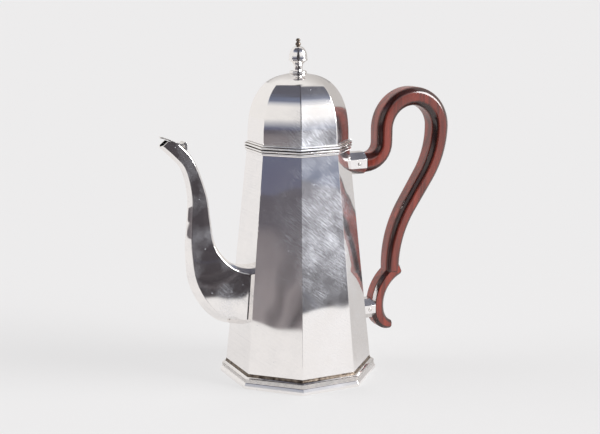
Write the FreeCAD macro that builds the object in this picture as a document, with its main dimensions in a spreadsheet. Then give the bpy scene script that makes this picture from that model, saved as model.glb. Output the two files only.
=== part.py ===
# Eight-sided silver coffee pot: tapering body, swan-neck spout with a hinged flap, domed lid with an acorn
# finial, and a wooden scroll handle held in two pinned sockets.
# Millimetres. +Z is up, the origin is on the pot's axis at the table, the spout points along -X, the handle
# along +X, and the plane Y = 0 halves the pot.

import FreeCAD, Part
import math
import os
import re

SIZES = {
    # Foot: a plinth band under a coved moulding, each standing out from the wall's base
    "plinth_projection": 4.1,
    "plinth_draft": 0.3,
    "plinth_height": 4.4,
    "plinth_width": 4.6,
    "cove_projection": 2.9,
    "cove_lip": 0.7,
    "cove_height": 2.9,
    "cove_depth": 1.9,
    "foot_bead_projection": 1.7,
    "foot_bead_height": 1.4,
    "foot_height": 10.3,
    "foot_ledge": 3.5,
    # Body wall and bottom
    "body_base_apothem": 50.5,
    "body_mouth_apothem": 34.6,
    "body_height": 173.0,
    "body_wall": 1.2,
    "base_thickness": 1.4,
    "strainer_hole_diameter": 6.4,
    "strainer_circle_radius": 8.2,
    # Rim moulding under the lid
    "rim_apothem": 36.6,
    "rim_band_height": 1.6,
    "rim_reed_height": 2.6,
    "rim_reed_setback": 0.35,
    "rim_groove": 0.35,
    # Lid: flange on the rim, bezel in the mouth, dome above
    "lid_gap": 0.3,
    "flange_lip": 0.9,
    "flange_height": 2.8,
    "flange_overhang": 0.35,
    "flange_cove_height": 2.2,
    "bezel_clearance": 0.5,
    "bezel_wall": 1.0,
    "bezel_depth": 4.6,
    "dome_apothem": 34.4,
    "dome_height": 48.7,
    "dome_squareness": 2.6,
    "dome_wall": 1.2,
    # Finial: base ring, waisted stem, acorn and button, with its stud, washer and nut
    "finial_seat_apothem": 6.4,
    "finial_ring_apothem": 5.7,
    "finial_ring_height": 0.9,
    "finial_waist_apothem": 2.9,
    "finial_waist_rise": 3.6,
    "finial_flare_apothem": 3.2,
    "finial_throat_apothem": 3.8,
    "finial_cup_apothem": 6.45,
    "finial_stem_height": 9.6,
    "acorn_apothem": 6.8,
    "acorn_dome_apothem": 6.5,
    "acorn_ledge_height": 1.0,
    "acorn_dome_height": 9.4,
    "acorn_squareness": 2.3,
    "acorn_top_apothem": 2.2,
    "tip_base_radius": 1.9,
    "tip_neck_radius": 1.0,
    "tip_neck_height": 2.9,
    "tip_ball_radius": 1.7,
    "tip_ball_sink": 0.5,
    "stud_radius": 1.5,
    "stud_engagement": 6.0,
    "stud_tail": 6.0,
    "washer_radius": 5.2,
    "washer_thickness": 1.0,
    "nut_across_flats": 6.4,
    "nut_height": 3.0,
    "screw_clearance": 0.06,
    # Lid hinge
    "hinge_barrel_radius": 2.1,
    "hinge_pin_radius": 0.9,
    "hinge_length": 15.0,
    "hinge_middle_length": 5.0,
    "hinge_side_play": 0.2,
    "hinge_clearance": 0.3,
    "pin_play": 0.05,
    "leaf_drop": 7.0,
    "leaf_thickness": 1.5,
    # Spout: sections across a path, each with its reach from the wall, rise, heading, depth and half width
    "spout_reach": 61.5,
    "spout_rise": 121.0,
    "spout_root_height": 63.2,
    "spout_root_depth": 43.6,
    "spout_root_half_width": 11.4,
    "spout_sole_reach_share": 0.2439,
    "spout_sole_rise_share": 0.0471,
    "spout_sole_heading": 154.8,
    "spout_sole_depth": 41.6,
    "spout_sole_half_width": 9.8,
    "spout_bend_reach_share": 0.4585,
    "spout_bend_rise_share": 0.176,
    "spout_bend_heading": 130.0,
    "spout_bend_depth": 32.4,
    "spout_bend_half_width": 8.0,
    "spout_heel_reach_share": 0.5463,
    "spout_heel_rise_share": 0.3314,
    "spout_heel_heading": 104.0,
    "spout_heel_depth": 22.0,
    "spout_heel_half_width": 6.5,
    "spout_limb_reach_share": 0.5577,
    "spout_limb_rise_share": 0.4942,
    "spout_limb_heading": 91.0,
    "spout_limb_depth": 17.2,
    "spout_limb_half_width": 5.3,
    "spout_neck_reach_share": 0.5707,
    "spout_neck_rise_share": 0.6496,
    "spout_neck_heading": 95.0,
    "spout_neck_depth": 13.8,
    "spout_neck_half_width": 4.7,
    "spout_crook_reach_share": 0.678,
    "spout_crook_rise_share": 0.8322,
    "spout_crook_heading": 125.0,
    "spout_crook_depth": 11.0,
    "spout_crook_half_width": 4.4,
    "spout_tip_reach_share": 0.8065,
    "spout_tip_rise_share": 0.914,
    "spout_tip_heading": 137.0,
    "spout_tip_depth": 11.3,
    "spout_tip_half_width": 4.3,
    "spout_lip_reach_share": 1.0,
    "spout_lip_rise_share": 1.0,
    "spout_lip_heading": 139.0,
    "spout_lip_depth": 10.4,
    "spout_lip_half_width": 4.2,
    "spout_front_flat_share": 0.2,
    "spout_front_chamfer_share": 0.45,
    "spout_back_flat_share": 0.42,
    "spout_back_chamfer_share": 0.4,
    "spout_wall": 1.0,
    "spout_root_overlap": 4.0,
    # Mouth of the spout and its flap, placed from the flap's hinge
    "flap_hinge_reach_share": 0.7171,
    "flap_hinge_rise_share": 0.9603,
    "flap_barrel_radius": 1.4,
    "flap_pin_radius": 0.55,
    "flap_hinge_length": 7.4,
    "flap_middle_length": 2.4,
    "flap_gap": 0.3,
    "flap_root": 1.8,
    "flap_drop": 0.9,
    "flap_length": 17.2,
    "flap_rise": 4.7,
    "flap_straightness": 0.35,
    "flap_thickness": 1.0,
    "flap_half_width": 4.5,
    "flap_tip_half_width": 1.4,
    "mouth_reach": 12.4,
    "lip_reach": 17.4,
    "lip_drop": 1.4,
    "lug_height": 4.4,
    "lug_depth": 1.6,
    # Handle sockets
    "upper_socket_drop": 17.0,
    "upper_socket_length": 17.4,
    "upper_socket_apothem": 8.2,
    "lower_socket_apothem": 7.6,
    "lower_socket_lap": 2.9,
    "socket_wall": 1.2,
    "tenon_clearance": 0.3,
    "upper_tenon_length": 12.5,
    "lower_tenon_length": 8.5,
    "socket_pin_radius": 1.3,
    "socket_pin_proud": 0.3,
    "upper_pin_setback": 6.5,
    "lower_pin_setback": 4.9,
    # Handle: an arch and a long back-curve above, a small scroll below
    "handle_start_apothem": 7.6,
    "handle_crown_apothem": 8.3,
    "handle_foot_apothem": 6.6,
    "handle_lead": 2.2,
    "handle_elbow_radius": 14.5,
    "handle_riser": 9.5,
    "handle_arch_radius": 24.3,
    "handle_back_radius": 70.0,
    "handle_lean": 33.0,
    "handle_straight": 27.0,
    "handle_return_radius": 85.0,
    "handle_spur": 4.3,
    "scroll_apothem": 6.2,
    "scroll_radius": 30.5,
    "scroll_start_angle": 112.0,
    "scroll_turn_angle": 190.0,
    "scroll_end_angle": 266.0,
    "scroll_curl_radius": 14.5,
    "scroll_end_apothem": 3.5,
    "scroll_offset": 17.5,
    "scroll_drop": 25.5,
    "lower_socket_drop": 1.6,
}

SIDES = 8
HALF_FACE = 180.0 / SIDES
NUT_SIDES = 6
RING_HOLES = 6
BEYOND = 2.0
UP = FreeCAD.Vector(0, 0, 1)
ACROSS = FreeCAD.Vector(0, 1, 0)

doc = FreeCAD.newDocument("coffee_pot")
sheet = doc.addObject("Spreadsheet::Sheet", "dims")
for row, (alias, value) in enumerate(SIZES.items(), start=1):
    sheet.set(f"A{row}", alias)
    sheet.set(f"B{row}", str(value))
    sheet.setAlias(f"B{row}", alias)
doc.recompute()


def size(alias):
    """A driving dimension as a number."""
    return float(sheet.get(alias))


def bound(text):
    """An expression in which each driving dimension is read from the sheet."""
    return re.sub(r"[a-z_]+", lambda word: f"dims.{word[0]}" if word[0] in SIZES else word[0], text)


def placed(piece, x="0", y="0", z="0"):
    """Ties a piece's position to the sheet."""
    for axis, text in zip("xyz", (x, y, z)):
        piece.setExpression(f".Placement.Base.{axis}", bound(text))
    return piece


def block(name, length, width, height, x, y, z):
    """A box from its lowest corner."""
    box = doc.addObject("Part::Box", name)
    for side, text in (("Length", length), ("Width", width), ("Height", height)):
        box.setExpression(side, bound(text))
    return placed(box, x, y, z)


def rod(name, radius, length, x, z):
    """A round bar along Y, centred on the plane Y = 0."""
    bar = doc.addObject("Part::Cylinder", name)
    bar.Placement.Rotation = FreeCAD.Rotation(FreeCAD.Vector(1, 0, 0), -90)
    bar.setExpression("Radius", bound(radius))
    bar.setExpression("Height", bound(length))
    return placed(bar, x, f"0 - ( {length} ) / 2", z)


def post(name, radius, height, z):
    """A round bar up the pot's axis."""
    bar = doc.addObject("Part::Cylinder", name)
    bar.setExpression("Radius", bound(radius))
    bar.setExpression("Height", bound(height))
    return placed(bar, z=z)


def bar_along_x(name, apothem, length, x, z):
    """An eight-sided bar along X with flats on its top and sides."""
    bar = doc.addObject("Part::Prism", name)
    bar.Polygon = SIDES
    lie_down = FreeCAD.Rotation(ACROSS, 90)
    bar.Placement.Rotation = lie_down.multiply(FreeCAD.Rotation(UP, HALF_FACE))
    bar.setExpression("Circumradius", bound(f"( {apothem} ) / cos( {HALF_FACE} deg )"))
    bar.setExpression("Height", bound(length))
    return placed(bar, x, "0", z)


def stack(name, levels, ruled=True):
    """A solid through level octagons, each given by its apothem and its height."""
    rings = []
    for number, (apothem, height) in enumerate(levels):
        ring = doc.addObject("Part::RegularPolygon", f"{name}_level_{number}")
        ring.Polygon = SIDES
        ring.Placement.Rotation = FreeCAD.Rotation(UP, HALF_FACE)
        ring.setExpression("Circumradius", bound(f"( {apothem} ) / cos( {HALF_FACE} deg )"))
        rings.append(placed(ring, z=height))
    loft = doc.addObject("Part::Loft", name)
    loft.Sections = rings
    loft.Solid = True
    loft.Ruled = ruled
    return loft


def cut(name, base, *tools):
    """The base with the tools taken away, one after another."""
    for number, tool in enumerate(tools):
        last = number == len(tools) - 1
        step = doc.addObject("Part::Cut", name if last else f"{name}_cut_{number}")
        step.Base = base
        step.Tool = tool
        base = step
    return base


def fuse(name, *pieces):
    whole = doc.addObject("Part::MultiFuse", name)
    whole.Shapes = list(pieces)
    whole.Refine = True
    return whole


def common(name, first, second):
    shared = doc.addObject("Part::Common", name)
    shared.Base = first
    shared.Tool = second
    return shared


def shaped(name, shape):
    feature = doc.addObject("Part::Feature", name)
    feature.Shape = shape
    return feature


SUB_PARTS = []


def sub_part(piece, label):
    """Marks a finished piece under the name of its file."""
    piece.Label = label
    SUB_PARTS.append(piece)
    return piece


# Body wall, a hollow frustum whose taper every joined piece follows
TAPER = "( body_base_apothem - body_mouth_apothem ) / ( body_height - foot_height )"


def wall_apothem(height):
    return f"body_base_apothem - ( ( {height} ) - foot_height ) * {TAPER}"


def wall_reach(height):
    """The same distance from the axis, as a number."""
    narrowing = size("body_base_apothem") - size("body_mouth_apothem")
    share = (height - size("foot_height")) / (size("body_height") - size("foot_height"))
    return size("body_base_apothem") - narrowing * share


body_outer = stack("body_outer", [(wall_apothem("foot_height"), "foot_height"),
                                  (wall_apothem("body_height"), "body_height")])
below, above = f"foot_height - {BEYOND}", f"body_height + {BEYOND}"
body_inner = stack("body_inner", [(f"{wall_apothem(below)} - body_wall", below),
                                  (f"{wall_apothem(above)} - body_wall", above)])
holes = []
for number in range(RING_HOLES + 1):
    hole = doc.addObject("Part::Cylinder", f"strainer_hole_{number}")
    hole.Placement.Rotation = FreeCAD.Rotation(ACROSS, -90)
    hole.setExpression("Radius", bound("strainer_hole_diameter / 2"))
    hole.setExpression("Height", bound("body_base_apothem"))
    ring_radius = "strainer_circle_radius" if number else "0"
    angle = 360 / RING_HOLES * number
    holes.append(placed(hole, "0 - body_mouth_apothem / 2", f"{ring_radius} * sin( {angle} deg )",
                        f"spout_root_height + {ring_radius} * cos( {angle} deg )"))
strainer = fuse("strainer_holes", *holes)
sub_part(cut("body_cut", body_outer, body_inner, strainer), "body_shell")

base_top = "foot_height + base_thickness"
sub_part(stack("base", [(f"{wall_apothem('foot_height')} - body_wall", "foot_height"),
                        (f"{wall_apothem(base_top)} - body_wall", base_top)]), "base_plate")

# Foot: the plinth, and above it a lip, a cove and a bead that carries the wall
plinth_base = "body_base_apothem + plinth_projection"
plinth_outer = stack("plinth_outer", [(plinth_base, "0"), (f"{plinth_base} - plinth_draft", "plinth_height")])
plinth_bore = stack("plinth_bore", [(f"{plinth_base} - plinth_width", f"0 - {BEYOND}"),
                                    (f"{plinth_base} - plinth_width", f"plinth_height + {BEYOND}")])
sub_part(cut("plinth_ring", plinth_outer, plinth_bore), "foot_plinth")

COVE_STEPS = (0, 30, 60, 90)
cove_base = "body_base_apothem + cove_projection"
bead = "body_base_apothem + foot_bead_projection"
cove = [(f"{cove_base} - cove_depth * sin( {turn} deg )",
         f"plinth_height + cove_lip + cove_height * ( 1 - cos( {turn} deg ) )") for turn in COVE_STEPS]
bead_base = "foot_height - foot_bead_height"
foot_outer = stack("foot_outer", [(cove_base, "plinth_height"), *cove, (f"{bead} - cove_lip / 2", bead_base),
                                  (bead, f"{bead_base} + foot_bead_height / 4"),
                                  (bead, f"{bead_base} + foot_bead_height / 2"),
                                  ("body_base_apothem", "foot_height")])
foot_bore = stack("foot_bore", [("body_base_apothem - foot_ledge", f"plinth_height - {BEYOND}"),
                                ("body_base_apothem - foot_ledge", f"foot_height + {BEYOND}")])
sub_part(cut("foot_ring", foot_outer, foot_bore), "foot_moulding")

# Rim: a flat band over a groove and a rounded reed that dies into the wall
band_base = "body_height - rim_band_height"
reed_base = f"{band_base} - rim_reed_height"
rim_outer = stack("rim_outer", [(f"{wall_apothem(reed_base)} + rim_groove", reed_base),
                                ("rim_apothem - rim_reed_setback", f"{reed_base} + rim_reed_height / 3"),
                                ("rim_apothem - rim_reed_setback", f"{band_base} - rim_groove"),
                                ("rim_apothem - rim_reed_setback - rim_groove", band_base),
                                ("rim_apothem", f"{band_base} + rim_groove / 2"),
                                ("rim_apothem", "body_height")])
sub_part(cut("rim_ring", rim_outer, body_outer), "rim_moulding")

# Lid flange and bezel
lid_base = "body_height + lid_gap"
lid_seat = f"{lid_base} + flange_height"
bezel_apothem = "body_mouth_apothem - body_wall - bezel_clearance"
flange_middle = "( rim_apothem + dome_apothem ) / 2"
flange_outer = stack("flange_outer", [("rim_apothem", lid_base), ("rim_apothem", f"{lid_base} + flange_lip"),
                                      ("rim_apothem - flange_overhang", f"{lid_base} + flange_height / 2"),
                                      (flange_middle, f"{lid_base} + flange_cove_height"),
                                      ("dome_apothem + flange_overhang", lid_seat)])
flange_bore = stack("flange_bore", [(bezel_apothem, f"{lid_base} - {BEYOND}"),
                                    (bezel_apothem, f"{lid_seat} + {BEYOND}")])
sub_part(cut("flange_ring", flange_outer, flange_bore), "lid_flange")

bezel_base = f"{lid_base} - bezel_depth"
bezel_outer = stack("bezel_outer", [(bezel_apothem, bezel_base), (bezel_apothem, lid_seat)])
bezel_bore = stack("bezel_bore", [(f"{bezel_apothem} - bezel_wall", f"{bezel_base} - {BEYOND}"),
                                  (f"{bezel_apothem} - bezel_wall", f"{lid_seat} + {BEYOND}")])
sub_part(cut("bezel_ring", bezel_outer, bezel_bore), "lid_bezel")

# Dome: octagons whose apothem and height follow a squarish quarter ellipse, up to the finial's flat seat
DOME_TURNS = (0, 11, 24, 38, 52, 64, 74)


def dome_levels(apothem, height, squareness, seat, base, skirt=None):
    levels = [(apothem, f"{base} - {skirt}")] if skirt else []
    for turn in DOME_TURNS:
        levels.append((f"( {apothem} ) * cos( {turn} deg ) ^ ( 2 / {squareness} )",
                       f"{base} + ( {height} ) * sin( {turn} deg ) ^ ( 2 / {squareness} )"))
    share = f"( ( {seat} ) / ( {apothem} ) ) ^ {squareness}"
    levels.append((seat, f"{base} + ( {height} ) * ( 1 - {share} ) ^ ( 1 / {squareness} )"))
    return levels


outer_levels = dome_levels("dome_apothem", "dome_height", "dome_squareness", "finial_seat_apothem", lid_seat)
inner_levels = dome_levels("dome_apothem - dome_wall", "dome_height - dome_wall", "dome_squareness",
                           "finial_seat_apothem", lid_seat, BEYOND)
seat_height = outer_levels[-1][1]
ceiling_height = inner_levels[-1][1]
dome_outer = stack("dome_outer", outer_levels, ruled=False)
dome_inner = stack("dome_inner", inner_levels, ruled=False)
stud_hole = post("stud_hole", "stud_radius + screw_clearance",
                 f"{seat_height} - ( {ceiling_height} ) + 2 * {BEYOND}", f"{ceiling_height} - {BEYOND}")
sub_part(cut("dome_shell", dome_outer, dome_inner, stud_hole), "lid_dome")

# Finial
stem_top = f"{seat_height} + finial_stem_height"
ring_top = f"{seat_height} + finial_ring_height"
waist = f"{ring_top} + finial_waist_rise"
stem_outer = stack("stem_outer", [("finial_ring_apothem", seat_height), ("finial_ring_apothem", ring_top),
                                  ("( finial_ring_apothem + finial_waist_apothem ) / 2",
                                   f"{ring_top} + finial_waist_rise / 5"),
                                  ("finial_flare_apothem", f"{ring_top} + finial_waist_rise / 2"),
                                  ("finial_waist_apothem", waist),
                                  ("finial_throat_apothem", f"( {waist} + {stem_top} ) / 2"),
                                  ("finial_cup_apothem", stem_top)])
stem_socket = post("stem_socket", "stud_radius + screw_clearance", f"stud_engagement + {BEYOND}",
                   f"{seat_height} - {BEYOND}")
sub_part(cut("stem_piece", stem_outer, stem_socket), "finial_stem")

ledge_top = f"{stem_top} + acorn_ledge_height"
acorn_levels = dome_levels("acorn_dome_apothem", "acorn_dome_height", "acorn_squareness", "acorn_top_apothem",
                           ledge_top)
ledge_edge = f"{ledge_top} - acorn_ledge_height / 4"
sub_part(stack("acorn", [("acorn_apothem", stem_top), ("acorn_apothem", ledge_edge), *acorn_levels]),
         "finial_acorn")

acorn_top = acorn_levels[-1][1]
tip_neck = doc.addObject("Part::Cone", "tip_neck")
tip_neck.setExpression("Radius1", bound("tip_base_radius"))
tip_neck.setExpression("Radius2", bound("tip_neck_radius"))
tip_neck.setExpression("Height", bound("tip_neck_height"))
placed(tip_neck, z=acorn_top)
tip_ball = doc.addObject("Part::Sphere", "tip_ball")
tip_ball.setExpression("Radius", bound("tip_ball_radius"))
placed(tip_ball, z=f"{acorn_top} + tip_neck_height + tip_ball_radius - tip_ball_sink")
sub_part(fuse("tip", tip_neck, tip_ball), "finial_tip")

stud_base = f"{ceiling_height} - stud_tail"
stud_top = f"{seat_height} + stud_engagement - screw_clearance"
sub_part(post("stud", "stud_radius", f"{stud_top} - ( {stud_base} )", stud_base), "finial_stud")

washer_base = f"{ceiling_height} - washer_thickness"
washer_disc = post("washer_disc", "washer_radius", "washer_thickness", washer_base)
washer_hole = post("washer_hole", "stud_radius + screw_clearance", f"washer_thickness + 2 * {BEYOND}",
                   f"{washer_base} - {BEYOND}")
sub_part(cut("washer", washer_disc, washer_hole), "finial_washer")

nut_block = doc.addObject("Part::Prism", "nut_block")
nut_block.Polygon = NUT_SIDES
nut_block.setExpression("Circumradius", bound(f"nut_across_flats / 2 / cos( {180 / NUT_SIDES} deg )"))
nut_block.setExpression("Height", bound("nut_height"))
placed(nut_block, z=f"{washer_base} - nut_height")
nut_hole = post("nut_hole", "stud_radius + screw_clearance", f"nut_height + 2 * {BEYOND}",
                f"{washer_base} - nut_height - {BEYOND}")
sub_part(cut("nut", nut_block, nut_hole), "finial_nut")


# A hinge has two fixed knuckles outside one moving knuckle, all on one pin along Y
def hinge(kind, x, z, length, middle, barrel, pin, fixed_leaf, moving_leaf, clear):
    inner = f"{middle} + 2 * hinge_side_play"
    pin_bore = rod(f"{kind}_pin_bore", f"{pin} + pin_play", f"{length} + 2 * {BEYOND}", x, z)
    sleeve = rod(f"{kind}_sleeve", barrel, length, x, z)
    slot = rod(f"{kind}_slot", f"{barrel} + {clear}", inner, x, z)
    fixed = cut(f"{kind}_fixed", fuse(f"{kind}_fixed_blank", sleeve, fixed_leaf), slot, pin_bore)
    knuckle = rod(f"{kind}_knuckle", barrel, middle, x, z)
    moving = cut(f"{kind}_moving", fuse(f"{kind}_moving_blank", knuckle, moving_leaf), pin_bore)
    return fixed, moving, rod(f"{kind}_pin", pin, length, x, z)


# Lid hinge, outside the rim on the handle's side
hinge_x = "rim_apothem + hinge_clearance + hinge_barrel_radius"
hinge_z = "body_height + lid_gap / 2"
pot_blank = block("pot_leaf_blank", "rim_apothem + leaf_thickness - body_mouth_apothem", "hinge_length",
                  "leaf_drop", "body_mouth_apothem", "0 - hinge_length / 2",
                  f"{hinge_z} - lid_gap - leaf_drop")
pot_leaf = cut("pot_leaf", pot_blank, rim_outer, body_outer)
lid_blank = block("lid_leaf_blank", f"{hinge_x} - dome_apothem", "hinge_middle_length",
                  "hinge_barrel_radius - lid_gap", "dome_apothem", "0 - hinge_middle_length / 2", lid_base)
lid_leaf = cut("lid_leaf", lid_blank, flange_outer)
pot_side, lid_side, lid_pin = hinge("lid_hinge", hinge_x, hinge_z, "hinge_length", "hinge_middle_length",
                                    "hinge_barrel_radius", "hinge_pin_radius", pot_leaf, lid_leaf,
                                    "hinge_clearance")
sub_part(pot_side, "body_hinge_leaf")
sub_part(lid_side, "lid_hinge_leaf")
sub_part(lid_pin, "lid_hinge_pin")


# Faceted outlines across a path in the plane Y = 0
def facet(name, x, z, heading, half):
    """An outline square to the heading, from the corners of its half on the +Y side, back to front."""
    across = FreeCAD.Vector(math.sin(heading), 0, -math.cos(heading))
    whole = half + [(u, -v) for u, v in reversed(half)]
    points = [FreeCAD.Vector(x, 0, z) + across * u + ACROSS * v for u, v in whole]
    return shaped(name, Part.makePolygon(points + points[:1]))


def spout_stations(inset, stretch):
    """Outlines from the wall to the lip, drawn in by the inset and run on past both ends by the stretch."""
    root_z = size("spout_root_height")
    wall_x = -wall_reach(root_z)
    lean = math.degrees(math.atan2(size("body_base_apothem") - size("body_mouth_apothem"),
                                   size("body_height") - size("foot_height")))
    stations = []
    for place in ("root", "sole", "bend", "heel", "limb", "neck", "crook", "tip", "lip"):
        inside = place == "root"
        reach = -size("spout_root_overlap") - stretch
        rise = 0.0
        if not inside:
            reach = size("spout_reach") * size(f"spout_{place}_reach_share")
            rise = size("spout_rise") * size(f"spout_{place}_rise_share")
        heading = math.radians(180.0 - lean if inside else size(f"spout_{place}_heading"))
        x, z = wall_x - reach, root_z + rise
        if place == "lip":
            x, z = x + stretch * math.cos(heading), z + stretch * math.sin(heading)
        back = size(f"spout_{place}_depth") / 2 - inset
        wide = size(f"spout_{place}_half_width") - inset
        half = [(back, wide * size("spout_back_flat_share")),
                (back - wide * size("spout_back_chamfer_share"), wide),
                (wide * size("spout_front_chamfer_share") - back, wide),
                (-back, wide * size("spout_front_flat_share"))]
        stations.append(facet(f"spout_{place}_{'bore' if inset else 'skin'}", x, z, heading, half))
    return stations


def smooth_loft(name, stations):
    loft = doc.addObject("Part::Loft", name)
    loft.Sections = stations
    loft.Solid = True
    return loft


spout_skin = smooth_loft("spout_skin", spout_stations(0.0, 0.0))
spout_bore = smooth_loft("spout_bore", spout_stations(size("spout_wall"), BEYOND))

# Mouth: the flap's underside runs from its hinge in a shallow S, and the rim lies a gap below it
flap_x = -wall_reach(size("spout_root_height")) - size("spout_reach") * size("flap_hinge_reach_share")
flap_z = size("spout_root_height") + size("spout_rise") * size("flap_hinge_rise_share")


def flap_curve(lift, reach):
    """The S from the hinge out to a reach, raised by the lift."""
    points = []
    for share in (0.0, 0.2, 0.4, 0.6, 0.8, 1.0):
        along = size("flap_root") + share * (reach - size("flap_root"))
        part = (along - size("flap_root")) / (size("flap_length") - size("flap_root"))
        swell = part * part * (3 - 2 * part)
        blend = swell + (part - swell) * size("flap_straightness")
        climb = -size("flap_drop") + (size("flap_rise") + size("flap_drop")) * blend
        points.append(FreeCAD.Vector(flap_x - along, 0, flap_z + climb + lift))
    curve = Part.BSplineCurve()
    curve.interpolate(points)
    return curve, points[0], points[-1]


def flat_prism(name, edges, half_width):
    """A face in the plane Y = 0 thickened evenly to both sides."""
    face = Part.Face(Part.Wire(edges))
    face.translate(ACROSS * -half_width)
    return shaped(name, face.extrude(ACROSS * (2 * half_width)))


def polyline(points):
    return [Part.LineSegment(a, b).toShape() for a, b in zip(points, points[1:])]


rim_curve, rim_start, rim_end = flap_curve(-size("flap_gap"), size("mouth_reach"))
seat = FreeCAD.Vector(flap_x, 0, flap_z - size("flap_barrel_radius") - size("flap_gap"))
lip = FreeCAD.Vector(flap_x - size("lip_reach"), 0, flap_z - size("lip_drop"))
past_lip = lip + (lip - rim_end)
over = FreeCAD.Vector(0, 0, size("spout_root_depth"))
mouth = flat_prism("mouth_cut", polyline([seat, rim_start]) + [rim_curve.toShape()] + polyline(
    [rim_end, past_lip, past_lip + over, seat + over, seat]), 2 * size("flap_half_width"))
sub_part(cut("spout_shell", spout_skin, spout_bore, mouth, body_outer), "spout")

# Flap: the same S as a plate, narrowing to its tip, with a tongue back to its knuckle
under, under_start, under_end = flap_curve(0.0, size("flap_length"))
over_curve, over_start, over_end = flap_curve(size("flap_thickness"), size("flap_length"))
wide, narrow = size("flap_half_width"), size("flap_tip_half_width")
plate = flat_prism("flap_plate", [under.toShape()] + polyline([under_end, over_end]) + [over_curve.toShape()]
                   + polyline([over_start, under_start]), wide)
shoulder_x = flap_x - size("mouth_reach")
corners = [FreeCAD.Vector(x, y, 0) for x, y in (
    (under_start.x, -wide), (shoulder_x, -wide), (under_end.x, -narrow),
    (under_end.x, narrow), (shoulder_x, wide), (under_start.x, wide))]
outline_face = Part.Face(Part.makePolygon(corners + corners[:1]))
outline = shaped("flap_outline", outline_face.extrude(UP * (2 * flap_z)))
tongue = block("flap_tongue", "flap_root + flap_thickness", "flap_middle_length", "flap_thickness",
               f"{flap_x} - flap_root - flap_thickness", "0 - flap_middle_length / 2",
               f"{flap_z} - flap_drop")
flap_leaf = fuse("flap_leaf", common("flap_trimmed", plate, outline), tongue)
lug_blank = block("lug_blank", "lug_depth", "flap_hinge_length", "lug_height", f"{flap_x}",
                  "0 - flap_hinge_length / 2", f"{flap_z} - lug_height")
lug = cut("lug", lug_blank, spout_skin)
spout_side, flap_side, flap_pin = hinge("flap_hinge", f"{flap_x}", f"{flap_z}", "flap_hinge_length",
                                        "flap_middle_length", "flap_barrel_radius", "flap_pin_radius", lug,
                                        flap_leaf, "flap_gap")
sub_part(spout_side, "spout_hinge_lug")
sub_part(flap_side, "spout_flap")
sub_part(flap_pin, "flap_hinge_pin")

# Handle path: lead and elbow from the socket, riser, arch, back-curve, straight, return and spur
upper_z = size("body_height") - size("upper_socket_drop")
upper_x = wall_reach(upper_z) + size("upper_socket_length")
start = FreeCAD.Vector(upper_x, 0, upper_z)
lean = size("handle_lean")
RUNS = [("line", size("handle_lead"), 0.0), ("arc", size("handle_elbow_radius"), 90.0),
        ("line", size("handle_riser"), 0.0), ("arc", size("handle_arch_radius"), -180.0),
        ("arc", size("handle_back_radius"), -lean), ("line", size("handle_straight"), 0.0),
        ("arc", size("handle_return_radius"), lean), ("line", size("handle_spur"), 0.0)]
CROWN_RUNS = 4


def tangent_path(point, heading, runs):
    """Edges of lines and arcs that follow on from each other, turning left for a positive angle."""
    edges = []
    for kind, length, turn in runs:
        ahead = FreeCAD.Vector(math.cos(heading), 0, math.sin(heading))
        if kind == "line":
            end = point + ahead * length
            edges.append(Part.LineSegment(point, end).toShape())
        else:
            side = math.copysign(1.0, turn)
            left = FreeCAD.Vector(-ahead.z, 0, ahead.x) * side
            middle = point + left * length
            spokes = []
            for share in (0.5, 1.0):
                angle = math.radians(turn * share)
                spoke = left * -math.cos(angle) + ahead * (side * math.sin(angle))
                spokes.append(middle + spoke * length)
            edges.append(Part.Arc(point, spokes[0], spokes[1]).toShape())
            end = spokes[1]
            heading += math.radians(turn)
        point = end
    return edges, point, heading


def even_facet(name, x, z, heading, apothem):
    """A regular eight-sided outline."""
    flat = apothem * math.tan(math.radians(HALF_FACE))
    return facet(name, x, z, heading, [(apothem, flat), (flat, apothem), (-flat, apothem), (-apothem, flat)])


# The section swells from the socket to the back of the arch and thins towards the spur
sections = []
for place, count in (("start", 0), ("crown", CROWN_RUNS), ("foot", len(RUNS))):
    edges, point, heading = tangent_path(start, 0.0, RUNS[:count])
    sections.append(even_facet(f"handle_{place}", point.x, point.z, heading, size(f"handle_{place}_apothem")))
foot = point
path = shaped("handle_path", Part.Wire(edges))
upper_scroll = doc.addObject("Part::Sweep", "upper_scroll")
upper_scroll.Sections = sections
upper_scroll.Spine = (path, [f"Edge{number + 1}" for number in range(len(edges))])
upper_scroll.Solid = True

# Small scroll below the spur: a wide arc, then a tighter curl that thins to the tip
scroll_radius = size("scroll_radius")
middle = foot + FreeCAD.Vector(size("scroll_offset"), 0, -size("scroll_drop"))
turn_angle, end_angle = size("scroll_turn_angle"), size("scroll_end_angle")
curl_shift = scroll_radius - size("scroll_curl_radius")
turn = math.radians(turn_angle)
curl_middle = middle + FreeCAD.Vector(math.cos(turn), 0, math.sin(turn)) * curl_shift
WIDE_STEPS, CURL_STEPS = 4, 4
stations = []
for step in range(WIDE_STEPS + CURL_STEPS + 1):
    if step <= WIDE_STEPS:
        angle = size("scroll_start_angle") + (turn_angle - size("scroll_start_angle")) * step / WIDE_STEPS
        centre, radius, thinning = middle, scroll_radius, 0.0
    else:
        thinning = (step - WIDE_STEPS) / CURL_STEPS
        angle = turn_angle + (end_angle - turn_angle) * thinning
        centre, radius = curl_middle, size("scroll_curl_radius")
    apothem = size("scroll_apothem") + (size("scroll_end_apothem") - size("scroll_apothem")) * thinning ** 2
    spoke = math.radians(angle)
    stations.append(even_facet(f"scroll_{step}", centre.x + radius * math.cos(spoke),
                               centre.z + radius * math.sin(spoke), spoke + math.pi / 2, apothem))
lower_scroll = smooth_loft("lower_scroll", stations)

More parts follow.
